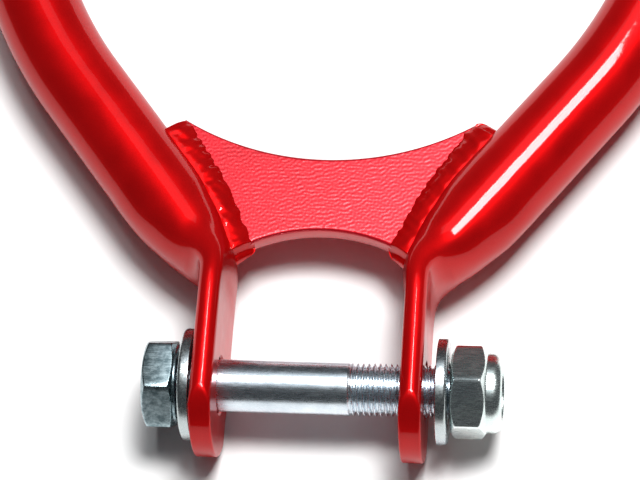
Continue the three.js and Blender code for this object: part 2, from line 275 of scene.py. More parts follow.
def leg_section(u, angle, inset=0.0):
    """Offsets (outward, up) of the leg's surface from its centre line.

    It is flat at the ear and round behind it.
    """
    share = np.arccos(np.clip(np.abs(np.cos(angle)), 0, 1)) / (math.pi / 2)
    fold = EAR_THICKNESS / 2 - np.minimum(inset, EAR_THICKNESS / 2 - THINNEST_FOLD)
    straight = EAR_HEIGHT / 2 - EAR_THICKNESS / 2
    reach = share * (straight + fold * math.pi / 2)
    turn = np.maximum(reach - straight, 0) / fold
    flat_out = fold * np.cos(turn)
    flat_up = np.minimum(reach, straight) + fold * np.sin(turn)
    radius = TUBE_RADIUS - inset
    share_opened = np.minimum(soft_above((u - FLAT_END) / OPENING_LENGTH, 0, 0.03), 1)
    opened = 1 - (1 - share_opened) ** OPENING_CURVE
    height = smooth(CREST_FROM, CREST_TO, u)
    out = flat_out + (radius * np.cos(share * math.pi / 2) - flat_out) * opened
    up = flat_up + (radius * np.sin(share * math.pi / 2) - flat_up) * height
    return out * np.sign(np.round(np.cos(angle), 9)), up * np.sign(np.round(np.sin(angle), 9))


def bridge_faces(first, columns, flip):
    """Closes a row by quads from its outer side across to its inner side."""
    quarter = columns // 4
    faces = []
    for j in range(-quarter, quarter):
        corners = [j, j + 1, columns // 2 - j - 1, columns // 2 - j]
        ids = list(dict.fromkeys(first + c % columns for c in corners))
        faces.append(tuple(reversed(ids)) if flip else tuple(ids))
    return faces


LEG_COLUMNS = 128
BORE_COLUMNS = 64
BORE_START = 9
END_ROUND = 0.55  # the ear's softened outline
END_ROWS = 5
FLAT_ROWS = 20
FLAT_Y = -2.0  # where the ear's rows become straight
FINE_END = 34  # rows lie close together as far as here
DENT_DEPTH = 0.05
SADDLE_HALF = 40
HOLE_ROUND = 0.45


def leg_rows():
    """The outer surface of the right leg, row by row from the ear's rounded end."""
    angle = np.linspace(0, 2 * math.pi, LEG_COLUMNS, endpoint=False)
    rows = []
    blends = [0.0] * END_ROWS + list(np.linspace(0, 1, FLAT_ROWS)[1:])
    for i, blend in enumerate(blends):
        phase = min(i, END_ROWS) / END_ROWS * math.pi / 2
        inset = END_ROUND * (1 - math.sin(phase)) if i < END_ROWS else 0
        back = END_ROUND * (1 - math.cos(phase)) if i < END_ROWS else END_ROUND
        out, up = leg_section(-40.0, angle, inset)  # well inside the flat ear
        reach = np.clip(up, -EAR_HEIGHT / 2, EAR_HEIGHT / 2)
        end_y = -np.sqrt(EAR_END_RADIUS**2 - reach**2) + back
        y = end_y + (FLAT_Y - end_y) * blend
        rows.append(np.stack([EAR_X + out, y, up], -1))
    start = FLAT_Y - BEND_START_Y - HALF_BEND
    stations = np.concatenate(
        [
            np.arange(start + 1, -10, 1.0),
            np.arange(-10, FINE_END, 0.5),
            np.arange(FINE_END, KNEE_AT, 2.0),
            np.arange(KNEE_AT, LEG_END, 2.5),
            [LEG_END],
        ]
    )
    for u in stations:
        at, normal = leg_frame(u)
        out, up = leg_section(u, angle)
        dents = DENT_DEPTH * smooth(-8, 4, u) * (1 - smooth(26, 40, u))
        dents = dents * waves(11, 7, 7, 16, u + 0 * angle, up)
        out = out + dents * np.sign(np.cos(angle))
        rows.append(at + normal * out[:, None] + np.array([0, 0, 1]) * up[:, None])
    return np.array(rows)


def add_leg(name, side):
    """A tube with its pressed ear, hollow, holed for the bolt and shaped to its housing."""
    rows = leg_rows()
    faces = ring_faces(len(rows), LEG_COLUMNS)
    faces += bridge_faces(0, LEG_COLUMNS, True)
    faces += bridge_faces((len(rows) - 1) * LEG_COLUMNS, LEG_COLUMNS, False)
    leg = add_object(name, rows, faces, side)
    # the bore
    columns = BORE_COLUMNS
    angle = np.linspace(0, 2 * math.pi, columns, endpoint=False)
    core = []
    near_ear = np.arange(BORE_START, FINE_END, 1.5)
    for u in np.concatenate([near_ear, np.arange(FINE_END, LEG_END + 6, 4)]):
        at, normal = leg_frame(u)
        out, up = leg_section(u, angle, TUBE_WALL)
        core.append(at + normal * out[:, None] + np.array([0, 0, 1]) * up[:, None])
    faces = ring_faces(len(core), columns)
    faces += bridge_faces(0, columns, True)
    faces += bridge_faces((len(core) - 1) * columns, columns, False)
    bore = add_object("bore", core, faces, side)
    # the housing's cylinder, and the bolt hole with its softened mouths
    saddle = add_rod("saddle", -SADDLE_HALF, SADDLE_HALF, HOUSING_RADIUS - 0.05, PIVOT, side)
    near, far = EAR_X - EAR_THICKNESS / 2, EAR_X + EAR_THICKNESS / 2
    mouth = HOLE_ROUND
    profile = [(near - 5, 0), (near - 5, EAR_HOLE_RADIUS + mouth)]
    for t in np.linspace(0, math.pi / 2, 6):
        profile.append((near + mouth * math.sin(t), EAR_HOLE_RADIUS + mouth * (1 - math.sin(t))))
    for t in np.linspace(math.pi / 2, 0, 6):
        profile.append((far - mouth * math.sin(t), EAR_HOLE_RADIUS + mouth * (1 - math.sin(t))))
    profile += [(far + 5, EAR_HOLE_RADIUS + mouth), (far + 5, 0)]
    hole = add_solid_turned("hole", np.array(profile), side=side)
    cut(leg, bore, saddle, hole)
    return leg


def add_solid_turned(name, profile, at=(0, 0, 0), side=1, sides=96):
    """A solid turned about X from an open profile of (x, r) that starts and ends on the axis."""
    inner = spun(profile[1:-1], sides, at)
    columns = inner.shape[1]
    points = list(inner.reshape(-1, 3))
    first = len(points)
    points.append(np.array([profile[0][0], 0, 0]) + np.array(at))
    points.append(np.array([profile[-1][0], 0, 0]) + np.array(at))
    faces = []
    for i in range(sides):
        a, b = i * columns, (i + 1) % sides * columns
        for j in range(columns - 1):
            faces.append((a + j, a + j + 1, b + j + 1, b + j))
        faces.append((a, b, first))
        faces.append((a + columns - 1, b + columns - 1, first + 1))
    return add_object(name, np.array(points), faces, side)


def add_rod(name, start, end, radius, at=(0, 0, 0), side=1, sides=128):
    """A plain cylinder about X, for cutting with."""
    profile = np.array([(start, 0), (start, radius), (end, radius), (end, 0)], float)
    return add_solid_turned(name, profile, at, side, sides)


# ---- The gusset plate and its weld beads ----

REAR_MID_Y = 56.3
REAR_RADIUS = 65.0
REAR_HALF_WIDTH = 34.0
FRONT_MID_Y = 38.0
FRONT_RADIUS = 38.0
FRONT_HALF_WIDTH = 15.5
TOE = (22.5, 29.2)  # where the front's straight corners reach the ears


PLATE_SECTIONS = 361
PLATE_EDGE_ROUND = 0.8
PLATE_FRONT_REACH, PLATE_REAR_REACH = 22.3, 39.8  # half widths, to inside the tubes
SKIN_DEPTH = 0.017
SKIN_WAVES = 40
SKIN_SHORTEST, SKIN_LONGEST = 0.65, 1.3


def plate_front(x):
    """The Y of the plate's front edge."""
    reach = np.minimum(np.abs(x), FRONT_HALF_WIDTH)
    arc = FRONT_MID_Y - FRONT_RADIUS + np.sqrt(FRONT_RADIUS**2 - reach**2)
    corner_y = FRONT_MID_Y - FRONT_RADIUS + math.sqrt(FRONT_RADIUS**2 - FRONT_HALF_WIDTH**2)
    slope = (TOE[1] - corner_y) / (TOE[0] - FRONT_HALF_WIDTH)
    return arc + (np.abs(x) - reach) * slope


def plate_rear(x):
    """The Y of the plate's rear edge."""
    reach = np.minimum(np.abs(x), REAR_HALF_WIDTH)
    arc = REAR_MID_Y + REAR_RADIUS - np.sqrt(REAR_RADIUS**2 - reach**2)
    return arc - (np.abs(x) - reach) * math.tan(FLARE)


def worm_texture(x, y, seed):
    """The wrinkled skin of the plate under its paint, between -1 and 1."""
    rng = np.random.default_rng(seed)
    total = 0
    for _ in range(SKIN_WAVES):
        length = rng.uniform(SKIN_SHORTEST, SKIN_LONGEST)
        heading = math.pi / 2 + rng.normal(0, 0.6)
        phase = rng.uniform(0, 2 * math.pi)
        reach = x * math.cos(heading) + y * math.sin(heading)
        total = total + np.sin(2 * math.pi * reach / length + phase)
    return np.tanh(total / 6 * 1.3)


def add_gusset():
    """The plate, section by section from left to right. Its ends stop inside the tubes."""
    rows = []
    across = 120
    edge_round = PLATE_EDGE_ROUND
    for t in np.linspace(-1, 1, PLATE_SECTIONS):
        front_x, rear_x = t * PLATE_FRONT_REACH, t * PLATE_REAR_REACH
        front = np.array([front_x, plate_front(front_x)])
        rear = np.array([rear_x, plate_rear(rear_x)])
        length = np.linalg.norm(rear - front)
        along = (rear - front) / length
        s = np.linspace(edge_round, length - edge_round, across)
        corner = np.linspace(0, math.pi / 2, 5)
        corner_in = edge_round * (1 - np.sin(corner))
        corner_out = edge_round * (1 - np.cos(corner))
        section = [(d, PLATE_HALF) for d in s]
        section += list(zip(length - corner_in[1:], PLATE_HALF - corner_out[1:]))
        section += list(zip(length - corner_out[:-1], -PLATE_HALF + corner_in[:-1]))
        section += [(d, -PLATE_HALF) for d in s[::-1]]
        section += list(zip(corner_in[1:], -PLATE_HALF + corner_out[1:]))
        section += list(zip(corner_out[:-1], PLATE_HALF - corner_in[:-1]))
        section = np.array(section)
        plan = front + along * section[:, :1]
        z = section[:, 1]
        on_face = smooth(PLATE_HALF - 0.25, PLATE_HALF - 0.02, np.abs(z))
        upper, lower = (worm_texture(plan[:, 0], plan[:, 1], seed) for seed in (5, 6))
        z = z + np.sign(z) * SKIN_DEPTH * on_face * np.where(z > 0, upper, lower)
        rows.append(np.column_stack([plan, z]))
    rows = np.array(rows)
    columns = rows.shape[1]
    faces = ring_faces(len(rows), columns)
    faces.append(tuple(range(columns)))
    faces.append(tuple(range((len(rows) - 1) * columns, len(rows) * columns))[::-1])
    return add_object("gusset", rows, faces, smooth_angle=60)


FLARE_ALONG = np.array([math.sin(FLARE), math.cos(FLARE)])
FLARE_INWARD = np.array([-math.cos(FLARE), math.sin(FLARE)])
BEAD_RISE = 2.5  # of the bead's top edge above the plate
BEAD_STATIONS = 340
BEAD_COLUMNS = 40
BEAD_HUMP = 0.62
BEAD_SWELL = 0.12
BEAD_LUMPS = 0.11
BEAD_RIPPLE = 0.028
BEAD_RIPPLE_PITCH = 2.2
BEAD_RIPPLE_WANDER = 1.6  # radians
BEAD_TOE_RIPPLE = 0.05
BEAD_TOE_WANDER = 0.22
BEAD_TOE_ALONG = [0, 4, 7, 10.6, 13, 17, 21, 28, 36, 42]
BEAD_TOE_INWARD = [10.2, 10.7, 11.4, 12.3, 12.9, 13.6, 14.1, 14.6, 15.2, 15.4]


def leg_inner_side(level):
    """The leg's inner side at a height.

    It is given as distances along and inwards from the flared part's centre line.
    """
    stations = np.linspace(-14, 60, 260)
    at, normal = leg_frame(stations)
    quarter = np.linspace(math.pi / 2, math.pi, 61)
    reach = []
    for u in stations:
        out, up = leg_section(u, quarter)
        reach.append(np.interp(level, up[::-1], -out[::-1]))
    plan = at[:, :2] - normal[:, :2] * np.array(reach)[:, None] - BEND_END
    return plan @ FLARE_ALONG + HALF_BEND, plan @ FLARE_INWARD


def add_gusset_weld(name, side, face, seed):
    """A rippled fillet bead between the plate and a tube. It wraps the plate's corners."""
    start, end = (-0.9 if face > 0 else 0.5), 38.4 + 0.8 * side
    stations = np.linspace(start, end, BEAD_STATIONS)
    across = np.linspace(-0.1, 1.3, BEAD_COLUMNS)
    foot = np.interp(stations, *leg_inner_side(PLATE_HALF))
    top = np.interp(stations, *leg_inner_side(PLATE_HALF + BEAD_RISE))
    toe = np.interp(stations, BEAD_TOE_ALONG, BEAD_TOE_INWARD)
    toe = toe + BEAD_TOE_WANDER * waves(seed, 11, 1.8, 6, stations)
    swell = 1 + BEAD_SWELL * waves(seed + 1, 8, 4, 12, stations)
    phase = 2 * math.pi * stations / BEAD_RIPPLE_PITCH
    phase = phase + BEAD_RIPPLE_WANDER * waves(seed + 2, 5, 6, 16, stations)
    depth = BEAD_RIPPLE * (1 + 0.6 * waves(seed + 3, 5, 5, 15, stations))
    toe = toe + BEAD_TOE_RIPPLE * np.sin(phase)
    rows = []
    for i, u in enumerate(stations):
        share = (u - start) / (end - start) * 2 - 1
        cap = (1 - abs(share) ** 18) ** (1 / 3)
        middle = foot[i] + 1.5
        outer = middle + (toe[i] - middle) * cap
        d = outer + (top[i] - outer) * across
        within = np.clip(across, 0, 1)
        hump = 4 * across * (1 - across)
        lumps = BEAD_LUMPS * waves(seed + 4, 9, 2.5, 7, u + 0 * across, d)
        ripple = depth[i] * np.sin(phase[i] + 2.4 * hump) + lumps
        z = BEAD_RISE * across + swell[i] * BEAD_HUMP * hump
        z = z + ripple * np.sin(math.pi * within)
        plan = BEND_END + FLARE_ALONG * (u - HALF_BEND) + FLARE_INWARD * d[:, None]
        plan_x, plan_y = plan.T
        inside = np.minimum(plan_y - plate_front(plan_x), plate_rear(plan_x) - plan_y)
        level = PLATE_HALF * smooth(-0.5, 0.6, inside)
        z = level + z * cap
        z = soft_above(z, level - 0.12, 0.07)
        d = np.append(d, [d[-1], d[0]])
        z = np.append(z, [-0.05, -0.05])
        plan = BEND_END + FLARE_ALONG * (u - HALF_BEND) + FLARE_INWARD * d[:, None]
        rows.append(np.column_stack([plan, face * z]))
    rows = np.array(rows)
    columns = rows.shape[1]
    faces = ring_faces(len(rows), columns)
    faces.append(tuple(range(columns)))
    faces.append(tuple(range((len(rows) - 1) * columns, len(rows) * columns))[::-1])
    return add_object(name, rows, faces, side, smooth_angle=70)


# ---- The chassis end ----


def add_housing(name, side):
    """The steel ring at the end of a tube, with broken edges."""
    half = HOUSING_HALF
    profile = [
        (-half, HOUSING_BORE + 0.6),
        (-half, HOUSING_RADIUS - 0.7),
        (-half + 0.7, HOUSING_RADIUS),
        (half - 0.7, HOUSING_RADIUS),
        (half, HOUSING_RADIUS - 0.7),
        (half, HOUSING_BORE + 0.6),
        (half - 0.6, HOUSING_BORE),
        (-half + 0.6, HOUSING_BORE),
    ]
    return add_turned(name, profile, PIVOT, side, sides=144, radius=0.35)


def add_housing_weld(name, side, seed):
    """The rippled bead along the saddle where the tube meets its housing."""
    around, section = 300, 22
    size = 3.3
    angles = np.linspace(0, 2 * math.pi, around, endpoint=False)
    tx, ty = math.sin(REAR), math.cos(REAR)
    swell = 1 + 0.07 * np.sin(angles * 3 + seed) + 0.05 * np.sin(angles * 7 + 2 * seed)
    rows = []
    for i, a in enumerate(angles):
        fall = math.sqrt(HOUSING_RADIUS**2 - (TUBE_RADIUS * math.sin(a)) ** 2)
        back = (fall - TUBE_RADIUS * math.cos(a) * tx) / ty
        turn = np.linspace(0, 2 * math.pi, section, endpoint=False)
        lag = 1.6 * np.sin(turn / 2) ** 2
        phase = a * 30 + 0.5 * math.sin(a * 4 + seed)
        ripple = 1 + 0.035 * np.sin(phase + lag) + 0.015 * np.sin(2 * (phase + lag))
        bead = size * swell[i] * ripple
        along = back + 0.2 + bead * np.sin(turn)
        reach = TUBE_RADIUS - 0.3 + bead * 0.95 * np.cos(turn)
        side_way, up = reach * math.cos(a), reach * math.sin(a)
        x = PIVOT[0] + ty * side_way - tx * along
        y = PIVOT[1] - tx * side_way - ty * along
        rows.append(np.stack([x, y, PIVOT[2] + up], -1))
    faces = ring_faces(around, section, close_rows=True)
    weld = add_object(name, rows, faces, side, smooth_angle=70)
    saddle = add_rod("saddle", -SADDLE_HALF, SADDLE_HALF, HOUSING_RADIUS - 0.3, PIVOT, side)
    cut(weld, saddle)
    return weld


def add_bushing_half(name, side, facing):
    """A flanged polyurethane half pressed into the housing.

    facing 1 has its flange towards the outside.
    """
    barrel = HOUSING_BORE - 0.1
    inner = SLEEVE_RADIUS + 0.15
    end = HOUSING_HALF + 0.12
    flange = 18.6
    lip = end + 4.1
    profile = [
        (0.4, inner),
        (0.4, barrel - 0.8),
        (1.4, barrel),
        (end, barrel),
        (end, flange),
        (lip - 1.4, flange),
        (lip - 0.35, 17.4),
        (lip, 16.2),
        (lip, 12.2),
        (lip - 0.5, 11.6),
        (lip - 0.5, inner + 0.5),
        (lip - 0.9, inner),
    ]
    profile = [(x * facing, r) for x, r in profile]
    return add_turned(name, profile, PIVOT, side, sides=120, radius=0.5, steps=5)


def add_sleeve(name, side):
    """The steel sleeve that the chassis bolt passes through."""
    half, outer, bore = SLEEVE_HALF, SLEEVE_RADIUS, SLEEVE_BORE
    profile = [
        (-half, bore + 0.6),
        (-half, outer - 0.5),
        (-half + 0.5, outer),
        (half - 0.5, outer),
        (half, outer - 0.5),
        (half, bore + 0.6),
        (half - 0.6, bore),
        (-half + 0.6, bore),
    ]
    return add_turned(name, profile, PIVOT, side, radius=0.12, steps=3)


# ---- The bolt, its washers and its nut ----

HEX_CORNER_ROUND = 0.45
HEX_CORNER_LOSS = 0.16
THREAD_STEP = 0.09


def hex_reach(angle, across_flats, turn):
    """The radius of a hexagon with softened corners, at angles from +Y towards +Z about X."""
    corner_at = math.pi / 2 + turn
    reach = []
    for k in range(6):
        face_at = corner_at + math.radians(30 + 60 * k)
        facing = np.cos(angle - face_at)
        reach.append(np.where(facing > 0.2, across_flats / 2 / np.maximum(facing, 0.2), 1e3))
    reach = np.sort(np.array(reach), axis=0)
    nearest, second = reach[0], reach[1]
    blend = np.exp(-((second - nearest) / HEX_CORNER_ROUND))
    return nearest - HEX_CORNER_LOSS * blend


def hex_angles(turn, per_side=28):
    """Even angles round a hexagon, starting at one of its corners."""
    return np.linspace(0, 2 * math.pi, 6 * per_side, endpoint=False) + math.pi / 2 + turn


def add_bolt():
    """The hex bolt: head, washer face, plain shank and a right-hand M12 x 1.25 thread."""
    radius, bearing, end = BOLT_RADIUS, HEAD_BEARING, BOLT_END
    dish = HEAD_OUTER + 0.35  # the slightly sunk middle of the head's outer face
    angle = hex_angles(BOLT_TURN)
    rows = []
    for reach in hex_reach(angle, HEX_FLATS, BOLT_TURN):
        drop = (reach - HEX_CHAMFER_RADIUS) * HEX_CHAMFER_SLOPE
        under = (reach - 9.05) * HEX_CHAMFER_SLOPE * 0.7
        profile = [
            (dish, 0.0),
            (dish, 6.4),
            (HEAD_OUTER, 6.9),
            (HEAD_OUTER, HEX_CHAMFER_RADIUS),
            (HEAD_OUTER + drop, reach),
            (bearing - 0.6 - under, reach),
            (bearing - 0.6, 9.05),
            (bearing, 8.9),
            (bearing, radius + 0.5),
            (bearing + 0.5, radius),
            (bearing + 1.5, radius),
        ]
        rows.append(rounded(profile, [0, 0.3, 0.3, 0.45, 0.32, 0.25, 0.15, 0.2, 0.15, 0.2, 0]))
    head = np.array(rows)
    # the shank goes on from the head in the same columns
    plain = np.linspace(bearing + 2.2, THREAD_FROM, 14)
    thread = np.arange(THREAD_FROM + THREAD_STEP, end, THREAD_STEP)
    x = np.concatenate([plain, thread, [end]])
    grid_x = np.broadcast_to(x, (len(angle), len(x)))
    phase = (grid_x / THREAD_PITCH - (angle[:, None] - math.pi / 2) / (2 * math.pi)) % 1.0
    groove = smooth(0.12, 0.80, np.abs(phase - 0.5) * 2)
    fade = smooth(THREAD_FROM, THREAD_FULL, grid_x)
    r = radius - THREAD_DEPTH * groove * fade - 0.02 * smooth(-20.5, -19.6, grid_x)
    point = end - 1.1
    r = np.minimum(r, radius - 0.75 * np.maximum(grid_x - point, 0) * 1.3 - 0.02)
    shank = np.stack([grid_x, r], -1)
    both = np.concatenate([head, shank], axis=1)
    columns = both.shape[1]
    y = np.cos(angle)[:, None] * both[:, :, 1]
    z = np.sin(angle)[:, None] * both[:, :, 1]
    points = np.stack([both[:, :, 0], y, z], -1).reshape(-1, 3)
    count = len(angle)
    faces = []
    for i in range(count):
        a, b = i * columns, (i + 1) % count * columns
        for j in range(columns - 1):
            faces.append((a + j, a + j + 1, b + j + 1, b + j))
    tip = len(points)
    points = np.vstack([points, [[end, 0, 0]]])
    for i in range(count):
        faces.append(((i + 1) * columns - 1, ((i + 1) % count + 1) * columns - 1, tip))
    return add_object("bolt", points, faces, smooth_angle=32)


def add_washer(name, x, radius, rolled):
    """A stamped washer. rolled 1 has its rounded edge towards +X."""
    flat_x, rolled_x = x - rolled * WASHER_HALF, x + rolled * WASHER_HALF
    profile = [
        (flat_x, WASHER_BORE),
        (flat_x, radius),
        (rolled_x, radius),
        (rolled_x, WASHER_BORE),
    ]
    return add_turned(name, profile, sides=144, radius=[0.12, 0.2, 0.85, 0.5], steps=6)


def add_nut():
    """The lock nut: a hexagon chamfered at both ends, and a rolled collar over its nylon ring."""
    start, hex_end, end = NUT_START, NUT_HEX_END, NUT_END
    angle = hex_angles(NUT_TURN)
    rows = []
    for a, reach in zip(angle, hex_reach(angle, HEX_FLATS, NUT_TURN)):
        drop = (reach - HEX_CHAMFER_RADIUS) * HEX_CHAMFER_SLOPE
        profile = [
            (start, 6.9),
            (start, 8.95),
            (start + drop, reach),
            (hex_end - drop * 1.15, reach),
            (hex_end - 0.05, 9.05),
            (hex_end + 0.25, 8.95),
            (end - 1.75, 8.95),
            (end - 0.5, 8.35),
            (end, 7.6),
            (end - 0.15, 7.0),
            (end - 0.66, 6.9),
            (end - 0.68, 7.68),
            (hex_end + 0.1, 7.68),
            (hex_end + 0.1, 6.1),
            (start + 0.8, 6.1),
        ]
        radii = [0.15, 0.35, 0.3, 0.3, 0.2, 0.25, 0.6, 0.7, 0.4, 0.25, 0, 0, 0, 0.1, 0.15]
        shape = rounded(profile, radii, 4)
        x, r = shape[:, 0], shape[:, 1]
        rows.append(np.stack([x, math.cos(a) * r, math.sin(a) * r], -1))
    rows = np.array(rows)
    faces = ring_faces(len(rows), rows.shape[1], close_rows=True)
    return add_object("nut", rows, faces, smooth_angle=32)


def add_nylon():
    """The locking ring inside the nut's collar."""
    start, end = NYLON_END - NYLON_LENGTH, NYLON_END
    profile = [
        (start, NYLON_BORE),
        (start, NYLON_RADIUS),
        (end, NYLON_RADIUS),
        (end, NYLON_BORE),
    ]
    return add_turned("nylon_ring", profile, radius=[0.1, 0.15, 0.35, 0.5], steps=5)


# ---- Materials ----


class Nodes:
    """A small helper that adds and links the nodes of one material."""

    def __init__(self, name):
        self.material = bpy.data.materials.new(name)
        self.material.use_nodes = True
        self.tree = self.material.node_tree
        self.shader = self.tree.nodes["Principled BSDF"]
        self.place = self.add("ShaderNodeTexCoord").outputs["Object"]

    def add(self, kind, sockets=None, **settings):
        made = self.tree.nodes.new(kind)
        for key, value in settings.items():
            setattr(made, key, value)
        for key, value in (sockets or {}).items():
            if isinstance(value, bpy.types.NodeSocket):
                self.tree.links.new(value, made.inputs[key])
            else:
                made.inputs[key].default_value = value
        return made

    def noise(self, scale, detail=3.0, rough=0.5, place=None):
        sockets = {
            "Vector": place or self.place,
            "Scale": scale,
            "Detail": detail,
            "Roughness": rough,
        }
        return self.add("ShaderNodeTexNoise", sockets).outputs[0]

    def stretched(self, scale):
        return self.add("ShaderNodeMapping", {"Vector": self.place, "Scale": scale}).outputs[0]

    def ranged(self, value, low, high, to_low, to_high):
        sockets = {
            "Value": value,
            "From Min": low,
            "From Max": high,
            "To Min": to_low,
            "To Max": to_high,
        }
        return self.add("ShaderNodeMapRange", sockets).outputs[0]

    def mixed(self, factor, a, b):
        made = self.add("ShaderNodeMix", data_type="RGBA")
        for socket, value in ((made.inputs[0], factor), (made.inputs[6], a), (made.inputs[7], b)):
            if isinstance(value, bpy.types.NodeSocket):
                self.tree.links.new(value, socket)
            else:
                socket.default_value = value
        return made.outputs[2]

    def bump(self, height, distance, strength=1.0, normal=None):
        sockets = {"Height": height, "Distance": distance, "Strength": strength}
        if normal is not None:
            sockets["Normal"] = normal
        return self.add("ShaderNodeBump", sockets).outputs[0]

    def set(self, **sockets):
        for key, value in sockets.items():
            socket = self.shader.inputs[key.replace("_", " ")]
            if isinstance(value, bpy.types.NodeSocket):
                self.tree.links.new(value, socket)
            else:
                socket.default_value = value


FLAKE_RED = (0.8, 0.008, 0.006, 1)
BLUE_ZINC = (0.50, 0.56, 0.66, 1)
FORGED_DARK, FORGED_LIGHT = (0.15, 0.21, 0.23, 1), (0.42, 0.52, 0.55, 1)


def red_paint(name, deep, grain, grain_depth, coat_weight, coat_roughness):
    """Translucent red over a bright metallic base, under a clear coat with a faint orange peel."""
    n = Nodes(name)
    cloud = n.ranged(n.noise(35, 3), 0.35, 0.65, 0, 1)
    flake = n.ranged(n.noise(5200, 2), 0.3, 0.7, 0, 0.2)
    tone = n.mixed(cloud, (*deep, 1), (*(1.2 * part for part in deep), 1))
    colour = n.mixed(flake, tone, FLAKE_RED)
    peel = n.bump(n.noise(330, 2), 0.00004, 0.35)
    under = n.bump(n.noise(grain, 3), grain_depth, 0.5, n.bump(n.noise(2600, 2), 0.00001, 0.4))
    coat = n.bump(n.noise(grain, 2), grain_depth * 0.5, 0.3, peel)
    n.set(Base_Color=colour, Metallic=0.6, Normal=under, Coat_Normal=coat)
    n.set(Specular_IOR_Level=0.12, Specular_Tint=(0.5, 0.02, 0.03, 1))
    n.set(Roughness=n.ranged(n.noise(140, 4), 0.3, 0.7, 0.36, 0.46))
    n.set(Coat_Weight=coat_weight, Coat_Roughness=coat_roughness, Coat_IOR=1.5)
    return n.material


def zinc(name, direction, dark, light, forged_before=None):
    """Bright zinc plate: cool and slightly clouded, with fine marks along one direction.

    forged_before is the X below which it has the dark mottle of a forged head.
    """
    n = Nodes(name)
    cloud = n.ranged(n.noise(160, 4, 0.6), 0.35, 0.65, 0, 1)
    tone = n.mixed(cloud, (*dark, 1), (*light, 1))
    if forged_before is not None:
        place = n.add("ShaderNodeSeparateXYZ", {"Vector": n.place}).outputs[0]
        forged = n.ranged(place, forged_before, forged_before + 0.0001, 1, 0)
        mottle = n.ranged(n.noise(700, 4, 0.7), 0.38, 0.62, 0, 1)
        tone = n.mixed(forged, tone, n.mixed(mottle, FORGED_DARK, FORGED_LIGHT))
    blue = n.ranged(n.noise(70), 0.5, 0.7, 0, 0.35)
    colour = n.mixed(blue, tone, BLUE_ZINC)
    marks = n.noise(1, 3, place=n.stretched(direction))
    n.set(Base_Color=colour, Metallic=1.0)
    n.set(Roughness=n.ranged(marks, 0.3, 0.7, 0.22, 0.32))
    n.set(Normal=n.bump(marks, 0.00001, 0.15, n.bump(n.noise(1400, 3), 0.00002, 0.3)))
    return n.material


def polyurethane():
    """Satin black moulded polyurethane."""
    n = Nodes("polyurethane")
    cloud = n.ranged(n.noise(120, 4), 0.3, 0.7, 0, 1)
    n.set(Base_Color=n.mixed(cloud, (0.010, 0.010, 0.011, 1), (0.019, 0.019, 0.020, 1)))
    n.set(Roughness=n.ranged(n.noise(400, 4), 0.3, 0.7, 0.38, 0.55))
    n.set(Normal=n.bump(n.noise(1500, 4), 0.00004, 0.4), Specular_IOR_Level=0.45)
    return n.material


def nylon():
    """Natural white nylon."""
    n = Nodes("nylon")
    cloud = n.ranged(n.noise(300, 3), 0.3, 0.7, 0, 1)
    n.set(Base_Color=n.mixed(cloud, (0.74, 0.76, 0.72, 1), (0.84, 0.85, 0.82, 1)))
    n.set(Roughness=n.ranged(n.noise(700, 3), 0.3, 0.7, 0.35, 0.5))
    n.set(Subsurface_Weight=0.15, Subsurface_Scale=0.001)
    n.set(Normal=n.bump(n.noise(1300, 3), 0.00002, 0.3))
    return n.material


TUBE_PAINT = red_paint(
    "red_paint_tube", (0.45, 0.0025, 0.0036), 900, 0.00001, coat_weight=0.5, coat_roughness=0.04
)
# Painted highlight tint: the plate carries the same paint as the tubes, but its brighter, bluer
# base colour stands in for the bluish light it reflects.
PLATE_PAINT_PAINTED_TINT = red_paint(
    "red_paint_plate_painted_highlight_tint", (0.47, 0.0035, 0.014), 1500, 0.00002, coat_weight=1.0, coat_roughness=0.26
)
# Painted shade: the beads carry the same paint as the tubes, with a slightly darker base colour
# standing in for the shade on them.
WELD_PAINT_PAINTED_SHADE = red_paint(
    "red_paint_weld_painted_shade", (0.44, 0.0022, 0.0030), 1500, 0.00002, coat_weight=0.5, coat_roughness=0.06
)
DRAWN = (400, 4000, 4000)  # fine marks that run along X
BOLT_ZINC = zinc(
    "zinc_turned", DRAWN, (0.60, 0.67, 0.73), (0.76, 0.83, 0.88), HEAD_BEARING * MM
)
NUT_ZINC = zinc("zinc_nut", DRAWN, (0.74, 0.84, 0.82), (0.90, 0.97, 0.95))
FLAT_ZINC = zinc("zinc_stamped", (1800, 1800, 1800), (0.46, 0.52, 0.53), (0.62, 0.66, 0.65))
POLYURETHANE = polyurethane()
NYLON = nylon()


def dress(made, material, slot, body, *nodes):
    """Gives a piece its material and its body, and hides the CAD nodes it stands for; slot is not
    used.
    """
    made.data.materials.clear()
    made.data.materials.append(material)
    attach(made, body)
    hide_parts(*nodes)


# ---- The pieces ----

for label, side in (("left", -1), ("right", 1)):
    leg = add_leg(label + "_leg", side)
    dress(leg, TUBE_PAINT, "red_paint", "arm", label + "_leg_tube")
    for level, face, seed in (("top", 1, 20 + side), ("bottom", -1, 40 + side)):
        weld = add_gusset_weld(f"{label}_gusset_bead_{level}", side, face, seed)
        dress(weld, WELD_PAINT_PAINTED_SHADE, "weld_paint", "arm", f"{label}_gusset_weld_{level}")
    housing = add_housing(label + "_housing", side)
    dress(housing, TUBE_PAINT, "red_paint", "arm", label + "_bushing_housing")
    bead = add_housing_weld(label + "_housing_bead", side, 3 + side)
    dress(bead, WELD_PAINT_PAINTED_SHADE, "weld_paint", "arm", label + "_housing_weld")
    for place, facing in (("outer", 1), ("inner", -1)):
        bushing = add_bushing_half(f"{label}_bushing_{place}", side, facing)
        dress(bushing, POLYURETHANE, "polyurethane", "arm", f"{label}_bushing_{place}_half")
    sleeve = add_sleeve(label + "_sleeve", side)
    dress(sleeve, FLAT_ZINC, "zinc_plate", label + "_sleeve", label + "_inner_sleeve")

